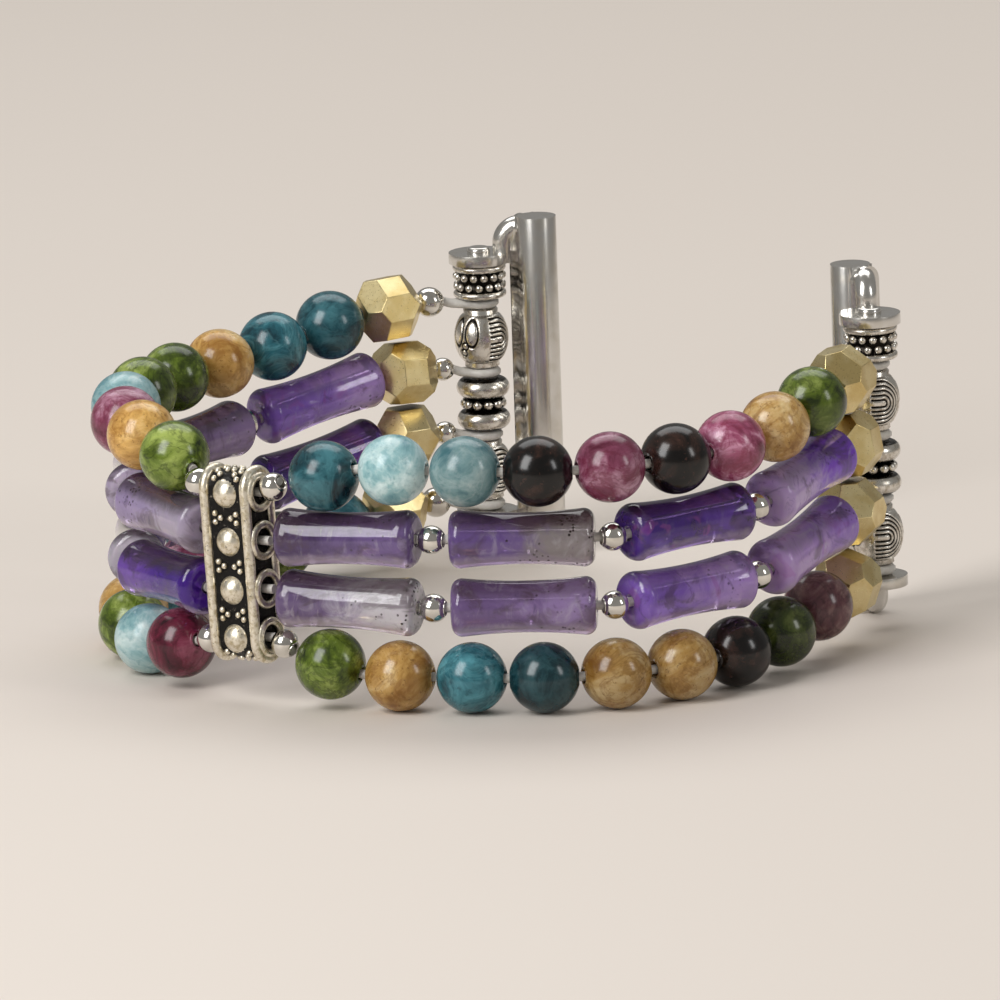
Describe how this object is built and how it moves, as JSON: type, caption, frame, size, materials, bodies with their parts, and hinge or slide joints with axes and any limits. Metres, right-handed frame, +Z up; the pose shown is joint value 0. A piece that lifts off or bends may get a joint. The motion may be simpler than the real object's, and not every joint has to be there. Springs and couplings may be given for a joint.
{
  "type": "stretch watch band",
  "caption": "Four-strand beaded stretch band for a square watch, with a cast spacer bar and slide-in case adapters at both ends.",
  "frame": {"origin": "bottom centre of the bounding box, on the surface that the band stands on", "axes": "+Z up along the rods, with the band standing on its edge; +X from the left adapter's rod to the right one's; +Y from the spacer bar towards the gap for the watch case"},
  "size_m": [0.0652, 0.0596, 0.03],
  "materials": {
    "antique_silver": "antique silver casting, dark in the recesses",
    "bright_silver": "polished silver plate",
    "adapter_silver": "polished silver plate",
    "gold": "matt gold plate on flat facets",
    "elastic": "clear-white elastic cord",
    "amethyst": "polished translucent quartz with clouds and dark specks",
    "teal_stone": "polished, cloudy dark teal",
    "aqua_stone": "polished, cloudy pale teal",
    "green_stone": "polished, veined green",
    "yellow_stone": "polished honey yellow with brown specks",
    "pink_stone": "polished pink with darker streaks",
    "plum_stone": "polished brownish plum",
    "garnet_stone": "polished near-black dark red"
  },
  "bodies": {
    "spacer_bar": {"spacer_bar": "antique_silver"},
    "front_stretch": {"front_mouth_balls": "bright_silver", "front_mouth_cords": "elastic"},
    "front_near": {"front_near_teal": "teal_stone", "front_near_aqua": "aqua_stone", "front_near_green": "green_stone", "front_near_yellow": "yellow_stone", "front_near_bamboo": "amethyst", "front_near_cords": "elastic"},
    "front_mid": {"front_mid_aqua": "aqua_stone", "front_mid_garnet": "garnet_stone", "front_mid_pink": "pink_stone", "front_mid_teal": "teal_stone", "front_mid_yellow": "yellow_stone", "front_mid_bamboo": "amethyst", "front_mid_balls": "bright_silver", "front_mid_cords": "elastic"},
    "front_end": {"front_end_yellow": "yellow_stone", "front_end_green": "green_stone", "front_end_plum": "plum_stone", "front_end_bamboo": "amethyst", "front_end_gold": "gold", "front_end_balls": "bright_silver", "front_end_cords": "elastic"},
    "right_adapter": {"right_adapter": "adapter_silver", "right_rod": "adapter_silver"},
    "right_drum": {"right_drum": "antique_silver"},
    "right_carved_upper": {"right_carved_upper": "antique_silver"},
    "right_spool": {"right_spool": "antique_silver"},
    "right_carved_lower": {"right_carved_lower": "antique_silver"},
    "back_stretch": {"back_mouth_balls": "bright_silver", "back_mouth_cords": "elastic"},
    "back_near": {"back_near_green": "green_stone", "back_near_yellow": "yellow_stone", "back_near_plum": "plum_stone", "back_near_aqua": "aqua_stone", "back_near_bamboo": "amethyst", "back_near_cords": "elastic"},
    "back_mid": {"back_mid_pink": "pink_stone", "back_mid_aqua": "aqua_stone", "back_mid_green": "green_stone", "back_mid_yellow": "yellow_stone", "back_mid_teal": "teal_stone", "back_mid_bamboo": "amethyst", "back_mid_balls": "bright_silver", "back_mid_cords": "elastic"},
    "back_end": {"back_end_teal": "teal_stone", "back_end_green": "green_stone", "back_end_bamboo": "amethyst", "back_end_gold": "gold", "back_end_balls": "bright_silver", "back_end_cords": "elastic"},
    "left_adapter": {"left_adapter": "adapter_silver", "left_rod": "adapter_silver"},
    "left_drum": {"left_drum": "antique_silver"},
    "left_carved_upper": {"left_carved_upper": "antique_silver"},
    "left_spool": {"left_spool": "antique_silver"},
    "left_carved_lower": {"left_carved_lower": "antique_silver"}
  },
  "joints": [
    {"name": "front_stretch", "type": "slide", "parent": "spacer_bar", "child": "front_stretch", "axis": [0.9942, 0.0941, 0.0523], "range_m": [0, 0.002], "stiffness_N_per_m": 120},
    {"name": "front_mouth_bend", "type": "hinge", "parent": "front_stretch", "child": "front_near", "pos_m": [0.00322, -0.02683, 0.01175], "axis": [0, 0, 1], "range_deg": [-20, 20]},
    {"name": "front_near_bend", "type": "hinge", "parent": "front_near", "child": "front_mid", "pos_m": [0.01546, -0.02137, 0.01175], "axis": [0, 0, 1], "range_deg": [-25, 15]},
    {"name": "front_far_bend", "type": "hinge", "parent": "front_mid", "child": "front_end", "pos_m": [0.02954, 0.00314, 0.01175], "axis": [0, 0, 1], "range_deg": [-25, 15]},
    {"name": "right_adapter_swing", "type": "hinge", "parent": "front_end", "child": "right_adapter", "pos_m": [0.0223, 0.02551, 0.015], "axis": [0, 0, 1], "range_deg": [-60, 60]},
    {"name": "right_drum_spin", "type": "hinge", "parent": "right_adapter", "child": "right_drum", "pos_m": [0.0223, 0.02551, 0.015], "axis": [0, 0, 1], "continuous": true},
    {"name": "right_carved_upper_spin", "type": "hinge", "parent": "right_adapter", "child": "right_carved_upper", "pos_m": [0.0223, 0.02551, 0.015], "axis": [0, 0, 1], "continuous": true},
    {"name": "right_spool_spin", "type": "hinge", "parent": "right_adapter", "child": "right_spool", "pos_m": [0.0223, 0.02551, 0.015], "axis": [0, 0, 1], "continuous": true},
    {"name": "right_carved_lower_spin", "type": "hinge", "parent": "right_adapter", "child": "right_carved_lower", "pos_m": [0.0223, 0.02551, 0.015], "axis": [0, 0, 1], "continuous": true},
    {"name": "back_stretch", "type": "slide", "parent": "spacer_bar", "child": "back_stretch", "axis": [-0.9942, -0.0941, -0.0523], "range_m": [0, 0.002], "stiffness_N_per_m": 120},
    {"name": "back_mouth_bend", "type": "hinge", "parent": "back_stretch", "child": "back_near", "pos_m": [-0.0047, -0.02755, 0.01175], "axis": [0, 0, 1], "range_deg": [-20, 20]},
    {"name": "back_near_bend", "type": "hinge", "parent": "back_near", "child": "back_mid", "pos_m": [-0.01736, -0.0235, 0.01175], "axis": [0, 0, 1], "range_deg": [-15, 25]},
    {"name": "back_far_bend", "type": "hinge", "parent": "back_mid", "child": "back_end", "pos_m": [-0.02963, 0.00285, 0.01175], "axis": [0, 0, 1], "range_deg": [-15, 25]},
    {"name": "left_adapter_swing", "type": "hinge", "parent": "back_end", "child": "left_adapter", "pos_m": [-0.02333, 0.02551, 0.015], "axis": [0, 0, 1], "range_deg": [-60, 60]},
    {"name": "left_drum_spin", "type": "hinge", "parent": "left_adapter", "child": "left_drum", "pos_m": [-0.02333, 0.02551, 0.015], "axis": [0, 0, 1], "continuous": true},
    {"name": "left_carved_upper_spin", "type": "hinge", "parent": "left_adapter", "child": "left_carved_upper", "pos_m": [-0.02333, 0.02551, 0.015], "axis": [0, 0, 1], "continuous": true},
    {"name": "left_spool_spin", "type": "hinge", "parent": "left_adapter", "child": "left_spool", "pos_m": [-0.02333, 0.02551, 0.015], "axis": [0, 0, 1], "continuous": true},
    {"name": "left_carved_lower_spin", "type": "hinge", "parent": "left_adapter", "child": "left_carved_lower", "pos_m": [-0.02333, 0.02551, 0.015], "axis": [0, 0, 1], "continuous": true}
  ]
}
